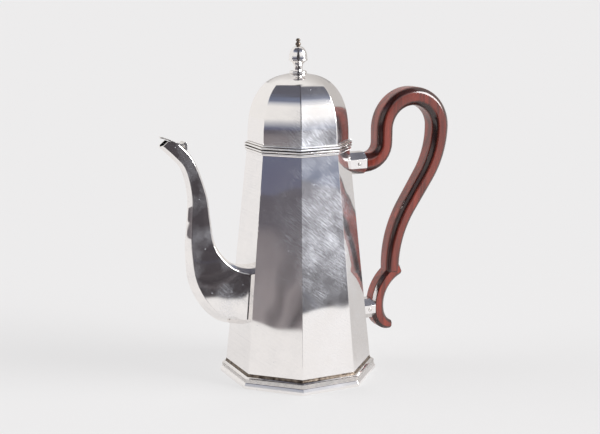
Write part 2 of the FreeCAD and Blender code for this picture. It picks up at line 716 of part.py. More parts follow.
# Sockets, pins and tenons: the lower socket laps the side of the scroll that faces the pot
lower_z = middle.z - size("lower_socket_drop")
lower_x = middle.x - scroll_radius - size("scroll_apothem") + size("lower_socket_lap")
inside = "body_mouth_apothem / 2"
blanks, pin_holes = [upper_scroll, lower_scroll], []
for place, end, z in (("upper", f"{upper_x}", f"{upper_z}"), ("lower", f"{lower_x}", f"{lower_z}")):
    apothem, tenon_length = f"{place}_socket_apothem", f"{place}_tenon_length"
    pin_x = f"{end} - {place}_pin_setback"
    tube = bar_along_x(f"{place}_tube", apothem, f"{end} - {inside}", inside, z)
    bore = bar_along_x(f"{place}_bore", f"{apothem} - socket_wall", f"{end} - {inside} + {BEYOND}", inside, z)
    pin_hole = rod(f"{place}_pin_hole", "socket_pin_radius + pin_play", f"4 * {apothem}", pin_x, z)
    sub_part(cut(f"{place}_socket_cut", tube, bore, body_outer, pin_hole, lower_scroll), f"{place}_socket")
    sub_part(rod(f"{place}_pin", "socket_pin_radius", f"2 * ( {apothem} + socket_pin_proud )", pin_x, z),
             f"{place}_socket_pin")
    blanks.append(bar_along_x(f"{place}_tenon", f"{apothem} - socket_wall - tenon_clearance",
                              f"{tenon_length} + {BEYOND}", f"{end} - {tenon_length}", z))
    pin_holes.append(pin_hole)
sub_part(cut("handle_cut", fuse("handle_blank", *blanks), *pin_holes), "wooden_handle")

doc.recompute()

# Every feature and every finished piece has to be sound before anything is written
for feature in doc.Objects:
    if {"Invalid", "Error"} & set(feature.State):
        raise RuntimeError(f"{feature.Name} failed: {feature.State}")
for piece in SUB_PARTS:
    if piece.Shape.isNull() or not piece.Shape.isValid() or not piece.Shape.Solids:
        raise RuntimeError(f"{piece.Label} has no sound shape")

os.makedirs("parts", exist_ok=True)
for piece in SUB_PARTS:
    piece.Shape.exportStep(f"parts/{piece.Label}.step")
    print(f"{piece.Label}: {len(piece.Shape.Solids)} solid, {piece.Shape.Volume:.0f} mm3")
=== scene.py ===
# %% [markdown]
# # An eight-sided silver coffee pot
#
# The construction of this pot (sizes, joints, hinges) comes from a CAD frame. Here its pieces get the softened
# edges, the hand-polished silver and the dark rosewood that the eye meets on the real pot. A faceted pot is a
# good lesson in reflections: polished silver has almost no colour of its own, so nearly everything that is seen
# on it is its surroundings, bent by the shape of each face.

import math

import bmesh
import bpy
from mathutils import Matrix, Vector
from mathutils.geometry import interpolate_bezier


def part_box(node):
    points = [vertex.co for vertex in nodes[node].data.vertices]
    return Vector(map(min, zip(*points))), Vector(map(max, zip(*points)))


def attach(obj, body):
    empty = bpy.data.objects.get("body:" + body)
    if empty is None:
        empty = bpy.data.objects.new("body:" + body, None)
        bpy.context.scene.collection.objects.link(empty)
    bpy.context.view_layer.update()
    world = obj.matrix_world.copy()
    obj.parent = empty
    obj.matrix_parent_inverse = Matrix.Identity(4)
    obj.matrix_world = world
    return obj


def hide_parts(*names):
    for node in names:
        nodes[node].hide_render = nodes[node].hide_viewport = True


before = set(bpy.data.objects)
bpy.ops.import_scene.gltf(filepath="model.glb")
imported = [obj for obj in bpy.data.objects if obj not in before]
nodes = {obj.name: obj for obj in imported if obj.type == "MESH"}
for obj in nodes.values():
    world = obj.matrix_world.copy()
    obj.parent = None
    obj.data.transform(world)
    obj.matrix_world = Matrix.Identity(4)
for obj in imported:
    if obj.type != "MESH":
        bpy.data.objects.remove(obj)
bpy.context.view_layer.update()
MM = 0.001

# %% [markdown]
# ## Finishes
#
# Colours are written as sRGB hex, as a colour picker shows them, and one function turns them into the linear
# values that shaders calculate with. A second function adds a shader node and wires it up, so that a material
# reads from top to bottom like a recipe.

# %% Helpers for materials
def linear(hex_colour):
    """Linear RGBA of an sRGB colour such as #C08040."""
    channels = [int(hex_colour[start:start + 2], 16) / 255 for start in (1, 3, 5)]
    return [c / 12.92 if c <= 0.04045 else ((c + 0.055) / 1.055) ** 2.4 for c in channels] + [1.0]


def add(tree, kind, inputs=None, **settings):
    """Adds one node; each input takes a plain value or the output socket of another node."""
    node = tree.nodes.new(kind)
    for name, value in settings.items():
        setattr(node, name, value)
    for name, value in (inputs or {}).items():
        if isinstance(value, bpy.types.NodeSocket):
            tree.links.new(value, node.inputs[name])
        else:
            node.inputs[name].default_value = value
    return node


def new_material(name):
    """A new material, its empty node tree and its output node."""
    material = bpy.data.materials.new(name)
    material.use_nodes = True
    material.node_tree.nodes.clear()
    return material, material.node_tree, material.node_tree.nodes.new("ShaderNodeOutputMaterial")


print("white is", linear("#FFFFFF"))

# %% [markdown]
# ### Hand-polished silver
#
# The flat faces of a silver pot are planished, which means beaten smooth with light blows of a hammer, and then
# polished by hand, again and again. Polishing leaves hairlines, and each swing of the arm draws them as arcs. Here
# they are a noise that is drawn out round a far-off centre: fine across the arcs and long along them.

# %% Hairlines
# At this distance from their centre, in mm, hairlines have their stated length; further out they are longer
ARC_RADIUS = 150


def hairlines(tree, place, centre, spacing, length):
    """Noise drawn out along arcs about a centre: lines so many mm apart and so many mm long."""
    moved = add(tree, "ShaderNodeVectorMath", {0: place, 1: [value * MM for value in centre]},
                operation="SUBTRACT")
    upright = add(tree, "ShaderNodeVectorMath", {0: moved.outputs[0], 1: (1, 0, 1)}, operation="MULTIPLY")
    radius = add(tree, "ShaderNodeVectorMath", {0: upright.outputs[0]}, operation="LENGTH")
    across = add(tree, "ShaderNodeSeparateXYZ", {0: moved.outputs[0]})
    angle = add(tree, "ShaderNodeMath", {0: across.outputs["X"], 1: across.outputs["Z"]}, operation="ARCTAN2")
    polar = add(tree, "ShaderNodeCombineXYZ", {"X": radius.outputs["Value"], "Y": angle.outputs[0]})
    drawn = add(tree, "ShaderNodeMapping", {"Vector": polar.outputs[0],
                                            "Scale": (1 / (spacing * MM), ARC_RADIUS / length, 1)})
    noise = add(tree, "ShaderNodeTexNoise", {"Vector": drawn.outputs[0], "Scale": 1.0, "Detail": 2.0})
    lines = add(tree, "ShaderNodeMapRange", {"Value": noise.outputs[0], "From Min": 0.5, "From Max": 0.68})
    return lines.outputs[0]


print("hairlines have their stated length", ARC_RADIUS, "mm from their centre")

# %% [markdown]
# A hairline scatters the light that falls on it, and between the hairlines the metal stays a mirror. So the
# silver is a mix of two metals, and this function gives the dull one's share. It grows towards the middle of what
# cloths and hands have rubbed most, it is cloudy, and the hairlines cut it up. Small pits are dull all over.

# %% The dull share
def dull_share(tree, place, everywhere, worn_at, worn_reach, wear, patches=(0.35, 0.55, 1.6)):
    """Share that scatters light; patches holds the cloud's level where they begin, and least and most haze."""
    # Real polishing marks are about 0.05 mm apart; they are drawn several times coarser, so that they can be seen
    swirls = hairlines(tree, place, (-100, 0, 20), spacing=0.25, length=5)
    strokes = hairlines(tree, place, (190, 0, 330), spacing=0.35, length=7)
    crossing = add(tree, "ShaderNodeMath", {0: swirls, 1: strokes}, operation="MAXIMUM")
    lines = add(tree, "ShaderNodeMapRange", {"Value": crossing.outputs[0], "To Min": 0.4, "To Max": 1.0})
    # A ball of wear, in mm: 1 at its centre worn_at and 0 at worn_reach from it; the pot's faces cut through it
    rubbing = add(tree, "ShaderNodeMapping", {"Vector": place, "Scale": [1 / (worn_reach * MM)] * 3,
                                              "Location": [-value / worn_reach for value in worn_at]})
    worn = add(tree, "ShaderNodeTexGradient", {"Vector": rubbing.outputs[0]}, gradient_type="QUADRATIC_SPHERE")
    # Clouds some 15 mm across
    cloud = add(tree, "ShaderNodeTexNoise", {"Vector": place, "Scale": 1 / (15 * MM), "Detail": 4.0})
    begin, least, most = patches
    clouds = add(tree, "ShaderNodeMapRange", {"Value": cloud.outputs[0], "From Min": begin, "From Max": 0.75,
                                              "To Min": least, "To Max": most})
    rubbed = add(tree, "ShaderNodeMath", {0: worn.outputs["Fac"], 1: wear, 2: everywhere},
                 operation="MULTIPLY_ADD")
    clouded = add(tree, "ShaderNodeMath", {0: rubbed.outputs[0], 1: clouds.outputs[0]}, operation="MULTIPLY")
    share = add(tree, "ShaderNodeMath", {0: clouded.outputs[0], 1: lines.outputs[0]}, operation="MULTIPLY",
                use_clamp=True)
    # Pits of half a millimetre, some 7 mm apart
    pits = add(tree, "ShaderNodeTexVoronoi", {"Vector": place, "Scale": 1 / (7 * MM)})
    specks = add(tree, "ShaderNodeMapRange", {"Value": pits.outputs["Distance"], "From Min": 0.06,
                                              "From Max": 0.03})
    pitted = add(tree, "ShaderNodeMath", {0: share.outputs[0], 1: specks.outputs[0]}, operation="MAXIMUM")
    return pitted.outputs[0]


print("haze on the silver: hairlines, rubbed places, clouds and pits")

# %% [markdown]
# Hammered faces are never quite flat: reflected lines wander, because the surface rolls by about a tenth of a
# millimetre over some 40 mm. To the eye the mirror shows the room, and the dull share lies over its dark parts as
# a pale haze. Over pale parts the haze can hardly be seen.

# %% A recipe for silver
HAZE = "#F1F3F9"


def silver(name, colour, smooth, **rubbing):
    """Polished silver: a mirror of a given roughness, mixed with the dull share that rubbing describes."""
    material, tree, output = new_material(name)
    place = add(tree, "ShaderNodeTexCoord").outputs["Object"]
    roll = add(tree, "ShaderNodeTexNoise", {"Vector": place, "Scale": 1 / (42 * MM), "Detail": 1.0})
    rolling = add(tree, "ShaderNodeBump", {"Height": roll.outputs[0], "Distance": 0.35 * MM}).outputs[0]
    dull = dull_share(tree, place, **rubbing)
    surface = {"Metallic": 1.0, "Normal": rolling}
    mirror = add(tree, "ShaderNodeBsdfPrincipled", {**surface, "Base Color": linear(colour), "Roughness": smooth})
    scratched = add(tree, "ShaderNodeBsdfPrincipled", {**surface, "Base Color": linear(HAZE), "Roughness": 0.6})
    mixed = add(tree, "ShaderNodeMixShader", {0: dull, 1: mirror.outputs[0], 2: scratched.outputs[0]})
    tree.links.new(mixed.outputs[0], output.inputs["Surface"])
    return material


print("colour of the haze:", HAZE)

# %% [markdown]
# The pot shows four finishes of silver. They differ in how clear the mirror is, in how much haze there is and in
# where it lies. Places are given in mm from the middle of the pot's underside.

# %% Four finishes of silver
SILVER, BUFFED_SILVER = "#F6F3F1", "#EEEBE7"

# Wall and mouldings: a clear mirror, hazy where the front faces have been rubbed
polished_silver = silver("hand_polished_silver", SILVER, 0.04, everywhere=0.16, worn_at=(0, -112, 122),
                         worn_reach=104, wear=4.6)
# Lid: a little softer, so that the bands of the room run into each other
lid_silver = silver("hand_polished_silver_of_the_lid", SILVER, 0.09, everywhere=0.07, worn_at=(-20, -85, 158),
                    worn_reach=80, wear=10.0)
# Spout: a clear mirror with separate cloudy patches
spout_silver = silver("hand_polished_silver_of_the_spout", SILVER, 0.04, everywhere=0.11,
                      worn_at=(-53, -44, 78), worn_reach=46, wear=3.4, patches=(0.42, 0.25, 3.4))
# Hinges, rivets and what holds the finial: filed and buffed, so they only shine softly
fitting_silver = silver("filed_and_buffed_silver", BUFFED_SILVER, 0.14, everywhere=0.15, worn_at=(39, 0, 173),
                        worn_reach=20, wear=1.0)
print("silver:", [finish.name for finish in (polished_silver, lid_silver, spout_silver, fitting_silver)])

# %% [markdown]
# Polish dries in the grooves of mouldings and the silver under it tarnishes. The dark brown lines drawn there are
# partly that tarnish and partly painted shade, which stands in for the shade in grooves and gaps. The cloth never
# reaches these places, and so they are dull as well.

# %% Darkened grooves: tarnish and painted shade
# Dark brown metal: partly tarnish, partly painted shade in grooves, gaps and hollows
tarnish_and_shade_silver, tree, output = new_material("tarnish_and_painted_shade_in_grooves")
place = add(tree, "ShaderNodeTexCoord").outputs["Object"]
# Specks of crust some 3 mm across
crust = add(tree, "ShaderNodeTexNoise", {"Vector": place, "Scale": 1 / (3 * MM), "Detail": 3.0})
browns = add(tree, "ShaderNodeValToRGB", {"Fac": crust.outputs[0]})
brown_stops = browns.color_ramp.elements
brown_stops[0].position, brown_stops[0].color = 0.35, linear("#4A4039")
brown_stops[1].position, brown_stops[1].color = 0.7, linear("#9A8D80")
tarnish_and_shade_bsdf = add(tree, "ShaderNodeBsdfPrincipled", {"Base Color": browns.outputs[0], "Metallic": 1.0,
                                                 "Roughness": 0.45})
tree.links.new(tarnish_and_shade_bsdf.outputs[0], output.inputs["Surface"])
print("grooves:", tarnish_and_shade_silver.name)

# %% [markdown]
# ### Rosewood
#
# The handle is sawn from a board, so the grain runs straight up and down through it, whichever way the handle
# curves. Rosewood is a dark red brown with nearly black streaks. Its chamfers are painted nearly black between the
# flats: painted shade, for chamfers that turn away from the lamps and mirror the dark room. A wax polish gives a
# clear coat, which lays a soft pale sheen over the dark wood.

# %% Rosewood
wax_polished_rosewood, tree, output = new_material("wax_polished_rosewood")
place = add(tree, "ShaderNodeTexCoord").outputs["Object"]
# Streaks some 7 mm apart across the board and fourteen times as long up it, with fine pores between them
up_the_board = add(tree, "ShaderNodeMapping", {"Vector": place, "Scale": (1.0, 1.0, 0.07)})
grain = add(tree, "ShaderNodeTexNoise", {"Vector": up_the_board.outputs[0], "Scale": 1 / (7 * MM), "Detail": 5.0,
                                         "Roughness": 0.62, "Distortion": 0.6})
streaks = add(tree, "ShaderNodeValToRGB", {"Fac": grain.outputs[0]})
grain_stops = streaks.color_ramp.elements
grain_stops[0].position, grain_stops[0].color = 0.28, linear("#3E1812")
grain_stops[1].position, grain_stops[1].color = 0.75, linear("#A5412F")
# The handle's own attribute, made with its mesh below, says where the painted shade on the chamfers lies
chamfer_shade_attribute = add(tree, "ShaderNodeAttribute", attribute_name="painted_chamfer_shade")
# Painted shade: the streaked wood turns nearly black where the chamfer attribute is high
shaded_wood_colour = add(tree, "ShaderNodeMix", {"Factor": chamfer_shade_attribute.outputs["Fac"], "A": streaks.outputs[0],
                                      "B": linear("#170B09")}, data_type="RGBA")
wood = add(tree, "ShaderNodeBsdfPrincipled", {"Base Color": shaded_wood_colour.outputs["Result"], "Roughness": 0.5,
                                              "Specular IOR Level": 0.1, "Coat Weight": 1.0,
                                              "Coat Roughness": 0.13, "Coat IOR": 1.65})
tree.links.new(wood.outputs[0], output.inputs["Surface"])
print("wood:", wax_polished_rosewood.name)

# %% [markdown]
# ## Pieces
#
# One function turns a finished bmesh into an object: it rides on its CAD body, stands for its CAD node and has
# its material. The Weighted Normal modifier keeps large faces flat to the eye and lets only the narrow bevels
# between them turn the light.

# %% Finished pieces
STAYS_SHARP = math.radians(35)


def piece(name, mesh_data, node, body, material, tarnish_and_shade=None):
    """Makes a piece that stands for a CAD node.

    The test tells, from a face's centre in mm, whether the face gets the dark metal of tarnish and painted shade.
    """
    mesh = bpy.data.meshes.new(name)
    for face in mesh_data.faces:
        face.smooth = True
    for edge in mesh_data.edges:
        edge.smooth = edge.calc_face_angle(0.0) < STAYS_SHARP
    mesh_data.to_mesh(mesh)
    mesh_data.free()
    mesh.materials.append(material)
    # Faces that the test picks get the dark metal: tarnish and painted shade
    if tarnish_and_shade:
        mesh.materials.append(tarnish_and_shade_silver)
        for face in mesh.polygons:
            face.material_index = int(tarnish_and_shade(face.center / MM))
    thing = bpy.data.objects.new(name, mesh)
    bpy.context.collection.objects.link(thing)
    flatten = thing.modifiers.new("even_normals", "WEIGHTED_NORMAL")
    flatten.keep_sharp = True
    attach(thing, body)
    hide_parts(node)
    print(f"{name}: {len(mesh.polygons)} faces")


def bevel(bm, edges, width, segments=3):
    """Rounds edges by a width in mm."""
    bmesh.ops.bevel(bm, geom=edges, offset=width * MM, offset_type="OFFSET", affect="EDGES", segments=segments,
                    profile=0.5, material=-1, clamp_overlap=True)


def edges_past(edges, degrees):
    """Those edges at which the surface turns by more than so many degrees."""
    return [edge for edge in edges if edge.calc_face_angle(0.0) > math.radians(degrees)]


print("edges that turn by more than", round(math.degrees(STAYS_SHARP)), "degrees stay sharp")

# %% [markdown]
# ### Eight-sided turnings
#
# Every moulding on the pot is the same idea: a section is carried round eight straight sides. In bmesh that is
# a spin in eight steps. Each section is written as a list of (distance of the flat from the axis, height) in mm,
# and the spin starts on a corner, which lies further out than a flat by 1 / cos 22.5 degrees.

# %% Spin a section round eight sides
HALF_FACE = math.radians(22.5)
# Corners closer than this, in mm, are one corner: first where the spin closes, later where bevels meet
SAME_PLACE, SAME_CORNER = 0.001, 0.002
# Edges that rise by less than this, in mm, are level
LEVEL = 0.01


def eight_sided(section, width, sharp=25.0, corner=0.0):
    """A bmesh from a section; edges past an angle are rounded by a width in mm, upright ones by a percentage."""
    bm = bmesh.new()
    corners = [bm.verts.new((apothem * MM / math.cos(HALF_FACE), 0, height * MM)) for apothem, height in section]
    ends = list(zip(corners, corners[1:]))
    # A section that starts away from the axis is a closed loop and makes a ring
    if section[0][0] > 0:
        ends.append((corners[-1], corners[0]))
    chain = [bm.edges.new(pair) for pair in ends]
    bmesh.ops.rotate(bm, verts=corners, cent=(0, 0, 0), matrix=Matrix.Rotation(HALF_FACE, 3, "Z"))
    bmesh.ops.spin(bm, geom=corners + chain, cent=(0, 0, 0), axis=(0, 0, 1), angle=math.tau, steps=8,
                   use_merge=True)
    bmesh.ops.remove_doubles(bm, verts=bm.verts, dist=SAME_PLACE * MM)
    bmesh.ops.recalc_face_normals(bm, faces=bm.faces)
    if corner:
        upright = [edge for edge in bm.edges if abs(edge.verts[0].co.z - edge.verts[1].co.z) > LEVEL * MM]
        bmesh.ops.bevel(bm, geom=upright, offset=corner, offset_type="PERCENT", affect="EDGES", segments=4,
                        profile=0.5, material=-1, clamp_overlap=False)
    bevel(bm, edges_past(bm.edges, sharp), width)
    bmesh.ops.remove_doubles(bm, verts=bm.verts, dist=SAME_CORNER * MM)
    return bm


def swept(centre_x, centre_z, across, up, start, end, steps):
    """Points on an elliptical arc of a section, from one angle to another in degrees."""
    turns = [math.radians(start + (end - start) * step / steps) for step in range(steps + 1)]
    return [(centre_x + across * math.cos(turn), centre_z + up * math.sin(turn)) for turn in turns]


print("a corner lies", round(1 / math.cos(HALF_FACE), 4), "times as far out as a flat")

# %% [markdown]
# ### Foot
#
# The foot is two rings. The lower is a plain plinth with a narrow chamfer, which takes the knocks. The upper is a
# band with three fine grooves, from which a hollow leads in to the wall. On the real pot such mouldings are drawn
# as strips and soldered on. The seam, the grooves and the hollow get the dark metal: partly the tarnish of dried
# polish, and partly painted shade.

# %% Foot
def dark_between(*bands):
    """A test of a face's centre: whether its height lies in one of some bands, in mm."""
    return lambda centre: any(low < centre.z < high for low, high in bands)


plinth = [(54.5, 0.0), (54.58, 0.6), (54.58, 2.2), (53.5, 4.1), (53.3, 4.4), (50.0, 4.4), (50.0, 0.0)]
piece("plinth_band", eight_sided(plinth, 0.2, 15.0), "foot_plinth", "pot", polished_silver)

GROOVES, GROOVE_WIDTH = (5.1, 5.9, 6.7), 0.3
notch = ((0, 0), (0.2, GROOVE_WIDTH / 2), (0, GROOVE_WIDTH))
notches = [(53.35 - inset, rise + up) for rise in GROOVES for inset, up in notch]
foot_hollow = swept(53.1, 9.9, 2.5, 2.5, 265, 185, 8)
moulding = [(53.2, 4.4), (53.35, 4.6), *notches, (53.2, 7.3), *foot_hollow, (50.5, 10.3), (47.0, 10.3),
            (47.0, 4.4)]
# Dark faces in the seam, the grooves and the hollow: tarnish and painted shade
seam, hollow = (4.0, 4.6), (8.0, 11.0)
foot_lines = dark_between(seam, *[(rise, rise + GROOVE_WIDTH) for rise in GROOVES], hollow)
piece("foot_band_and_hollow", eight_sided(moulding, 0.1, 60.0), "foot_moulding", "pot",
      polished_silver, foot_lines)

# %% [markdown]
# ### Rim and lid edge
#
# The mouth is strengthened with a reeded wire and the lid ends in a lip that matches it, so that a closed lid
# shows as a stack of fine level lines. Where two of the rounds meet, the metal is dark: partly tarnish and partly
# painted shade.

# %% Rim, lid flange and bezel
lower_reed = swept(35.1, 170.0, 1.0, 1.2, -90, 80, 10)
upper_reed = swept(35.7, 172.1, 0.9, 0.85, -80, 90, 10)
rim = [*lower_reed, *upper_reed, (34.6, 173.0), (35.0, 168.8)]
# Dark bands where the rim sits on the wall and where its rounds meet: tarnish and painted shade
piece("rim_reeds", eight_sided(rim, 0.12, 60.0), "rim_moulding", "pot", polished_silver,
      dark_between((168.0, 169.0), (170.95, 171.5), (172.7, 174.0)))

lip = swept(35.75, 174.15, 0.85, 0.85, -90, 75, 10)
lip_hollow = swept(36.1, 176.1, 1.35, 1.1, 255, 180, 6)
flange = [*lip, *lip_hollow, (32.9, 176.1), (32.9, 173.3)]
# Dark bands where the lip's rounds meet: tarnish and painted shade
piece("lid_edge", eight_sided(flange, 0.12, 60.0), "lid_flange", "lid", lid_silver,
      dark_between((173.0, 173.5), (174.85, 175.3)))

bezel = [(32.9, 168.7), (32.9, 176.1), (31.9, 176.1), (31.9, 168.7)]
piece("lid_collar", eight_sided(bezel, 0.15), "lid_bezel", "lid", lid_silver)

# %% [markdown]
# ### Dome
#
# The dome is hammered up from sheet. It swells like a squarish quarter ellipse: full at the shoulder and nearly
# level at the top. A power of 2 would give a true ellipse, and a larger one pushes the shoulder outwards. The inner
# curve is the same one, smaller by the sheet's thickness.

# %% Dome
def squarish(apothem, height, squareness, top, base, steps):
    """Points up a squarish quarter ellipse, as far in as the top; they lie closest together at the foot."""
    last = math.acos((top / apothem) ** (squareness / 2))
    turns = [last * (step / steps) ** 1.3 for step in range(steps + 1)]
    power = 2 / squareness
    return [(apothem * math.cos(turn) ** power, base + height * math.sin(turn) ** power) for turn in turns]


DOME_FOOT, STUD_HOLE = 176.1, 1.6
outside = squarish(34.4, 48.7, 2.6, 6.4, DOME_FOOT, 40)
inside = squarish(33.2, 47.5, 2.6, 6.4, DOME_FOOT, 24)
dome = outside + [(STUD_HOLE, outside[-1][1]), (STUD_HOLE, inside[-1][1])] + inside[::-1]
piece("dome", eight_sided(dome, 0.6, 30.0), "lid_dome", "lid", lid_silver)

# %% [markdown]
# ### Finial
#
# The finial is cast in two parts and held by a stud: a waisted stem on a round bead, and an acorn with a ledge
# under its cap. Both are eight-sided like the pot, but small castings come out of the polish much rounder, so
# their upright corners are rounded by a share of the face.

# %% Finial
STEM_HEIGHT = 9.6
# Upright corners are rounded by this share of their faces, in per cent
ROUND_CORNERS = 30.0

seat = outside[-1][1]
bead = swept(5.1, 1.15, 1.15, 1.15, -90, 80, 8)
waist = [*bead, (3.9, 2.4), (3.25, 3.0), (3.15, 5.4), (3.6, 6.8), (4.6, 8.2), (6.45, STEM_HEIGHT)]
stem = [(0.0, seat), *[(apothem, seat + rise) for apothem, rise in waist], (0.0, seat + STEM_HEIGHT)]
piece("finial_waist", eight_sided(stem, 0.15, 40.0, ROUND_CORNERS), "finial_stem", "lid",
      lid_silver)

ledge = seat + STEM_HEIGHT
cap = squarish(6.5, 9.4, 2.3, 2.2, ledge + 1.0, 16)
acorn = [(0.0, ledge), (6.8, ledge), (6.8, ledge + 0.75), *cap, (0.0, cap[-1][1])]
piece("acorn", eight_sided(acorn, 0.15, 40.0, ROUND_CORNERS), "finial_acorn", "lid", lid_silver)

# %% [markdown]
# The button on top of the acorn was turned in a lathe, so it is spun in many steps instead of eight. It gets the
# dark groove metal all over as a painted reflection: it stands in for the dark room that its small balls mirror.

# %% Button
crown = cap[-1][1]
lower_ball = swept(0.0, crown + 1.6, 2.0, 1.7, -60, 62, 10)
upper_ball = swept(0.0, crown + 4.45, 1.6, 1.35, -62, 90, 10)
profile = [(0.0, crown), (0.85, crown), *lower_ball, *upper_ball]
button = bmesh.new()
dots = [button.verts.new((radius * MM, 0, height * MM)) for radius, height in profile]
outline_edges = [button.edges.new(pair) for pair in zip(dots, dots[1:])]
bmesh.ops.spin(button, geom=dots + outline_edges, cent=(0, 0, 0), axis=(0, 0, 1), angle=math.tau, steps=32,
               use_merge=True)
bmesh.ops.remove_doubles(button, verts=button.verts, dist=SAME_PLACE * MM)
bmesh.ops.recalc_face_normals(button, faces=button.faces)
# Painted reflection: the dark metal stands in for the dark room that the button mirrors
piece("finial_button", button, "finial_tip", "lid", tarnish_and_shade_silver)

# %% [markdown]
# ### Wall, sockets and small fittings
#
# Flat-faced pieces are taken over from the CAD frame. Their triangles are loose, so they are merged first, and
# triangles that lie in one plane are dissolved into whole faces. Then the edges are rounded, because no edge that
# has been polished stays sharp.

# %% Soften copies of CAD pieces
IN_ONE_PLANE = math.radians(0.4)


def softened(node, width, sharp=25.0, segments=2):
    """A bmesh of a CAD node with its edges rounded by a width in mm."""
    bm = bmesh.new()
    bm.from_mesh(nodes[node].data)
    bmesh.ops.remove_doubles(bm, verts=bm.verts, dist=SAME_PLACE * MM)
    bmesh.ops.dissolve_limit(bm, angle_limit=IN_ONE_PLANE, verts=bm.verts, edges=bm.edges)
    bmesh.ops.recalc_face_normals(bm, faces=bm.faces)
    bevel(bm, edges_past(bm.edges, sharp), width, segments)
    return bm


piece("wall", softened("body_shell", 1.0, segments=3), "body_shell", "pot", polished_silver)
for node, name in (("upper_socket", "upper_ferrule"), ("lower_socket", "lower_ferrule")):
    piece(name, softened(node, 1.2, segments=4), node, "pot", polished_silver)
for node, name, body, width in (("spout_flap", "mouth_flap", "flap", 0.2),
                                ("spout_hinge_lug", "flap_knuckles", "pot", 0.15),
                                ("body_hinge_leaf", "pot_knuckles", "pot", 0.2),
                                ("lid_hinge_leaf", "lid_knuckle", "lid", 0.2)):
    piece(name, softened(node, width), node, body, fitting_silver)

# %% [markdown]
# A rivet goes through each ferrule and holds the handle's tenon. Its head is hammered to a low dome. Round it lies
# a dark ring of tarnish and painted shade: all that lies further from the rivet's middle than the shining head.

# %% Rivets
HEAD_RADIUS = 0.95
for node, name in (("upper_socket_pin", "upper_rivet"), ("lower_socket_pin", "lower_rivet")):
    low, high = [Vector(corner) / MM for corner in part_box(node)]
    middle = (low + high) / 2
    # Dark ring round the head: tarnish and painted shade
    piece(name, softened(node, 0.5, segments=3), node, "pot", fitting_silver,
          lambda centre: math.hypot(centre.x - middle.x, centre.z - middle.z) > HEAD_RADIUS)

# %% [markdown]
# ### Spout
#
# The spout is seamed up from shaped sheet: an eight-sided tube that is deep and narrow where it meets the wall,
# bends upwards and ends in a slanting mouth. Nine sections across it carry its shape.

# %% Spout sections
WALL_X, ROOT_Z = -45.33, 63.2
# Each section's reach from the wall, rise, heading in degrees, depth and half widths at its back and front
SECTIONS = [(-4.0, 0.0, 174.4, 43.6, 12.3, 13.4), (15.0, 5.7, 154.8, 41.6, 10.1, 10.3),
            (28.2, 21.3, 130.0, 32.4, 8.2, 8.2), (33.6, 40.1, 104.0, 22.0, 6.5, 6.5),
            (34.3, 59.8, 91.0, 17.2, 5.3, 5.3), (35.1, 78.6, 95.0, 13.8, 4.7, 4.7),
            (41.7, 100.7, 125.0, 11.0, 4.4, 4.4), (49.6, 110.6, 137.0, 11.3, 4.3, 4.3),
            (61.5, 121.0, 139.0, 10.4, 4.2, 4.2)]


def outline(reach, rise, heading, depth, back, front):
    """The eight corners of one section, in metres; back and front are its half widths."""
    turn = math.radians(heading)
    across = Vector((math.sin(turn), 0, -math.cos(turn)))
    # One half as (place along the depth, half width there): blunt at the back and keener at the front
    half = [(depth / 2, 0.6 * back), (depth / 2 - 0.28 * back, back), (0.45 * front - depth / 2, front),
            (-depth / 2, 0.2 * front)]
    around = half + [(along, -aside) for along, aside in reversed(half)]
    centre = Vector((WALL_X - reach, 0, ROOT_Z + rise))
    return [(centre + across * along + Vector((0, aside, 0))) * MM for along, aside in around]


print("spout sections:", len(SECTIONS))

# %% [markdown]
# Smooth curves run through the corners of the sections and give more rings between them, and a tube is bridged
# from ring to ring. The handle is made from such rings too.

# %% Tubes from rings
def smooth_rings(rings, steps):
    """More rings between the given ones, on curves that run smoothly through each corner."""
    padded = [rings[0]] + rings + [rings[-1]]
    finer = []
    for before, here, after, beyond in zip(padded, padded[1:], padded[2:], padded[3:]):
        columns = []
        for a, b, c, d in zip(before, here, after, beyond):
            span = (c - b).length
            lead = (c - a).normalized() * span / 3
            tail = (d - b).normalized() * span / 3
            columns.append(interpolate_bezier(b, b + lead, c - tail, c, steps + 1)[:-1])
        finer.extend([list(ring) for ring in zip(*columns)])
    return finer + [rings[-1]]


def tube(bm, rings):
    """Bridges rings of corners into a tube; returns the edges that run along it."""
    loops = []
    for ring in rings:
        corners = [bm.verts.new(corner) for corner in ring]
        loops.append([bm.edges.new(pair) for pair in zip(corners, corners[1:] + corners[:1])])
    along = []
    for lower, upper in zip(loops, loops[1:]):
        along += bmesh.ops.bridge_loops(bm, edges=lower + upper)["edges"]
    bmesh.ops.recalc_face_normals(bm, faces=bm.faces)
    return along


spout_rings = smooth_rings([outline(*section) for section in SECTIONS], steps=6)
print("spout rings:", len(spout_rings))

# %% [markdown]
# The tube starts inside the wall and ends past the mouth, and three planes trim it: the leaning wall, the seat of
# the flap and the slanting lip. Only then does the sheet get its thickness of 1 mm, inwards.

# %% Spout
# Arrises are the sharp lines where two faces meet: edges that turn by more than this, in degrees
ARRIS = 15
WALL_LEAN = math.radians(5.58)
# Wall, flap's seat and lip, each as a point in mm and a direction; what lies beyond the point that way is cut off
TRIMS = [((WALL_X, 0, ROOT_Z), (math.cos(WALL_LEAN), 0, -math.sin(WALL_LEAN))),
         ((-91.23, 0, 178.2), (3.9, 0, 10.6)), ((-101.83, 0, 182.1), (-4.1, 0, 5.0))]

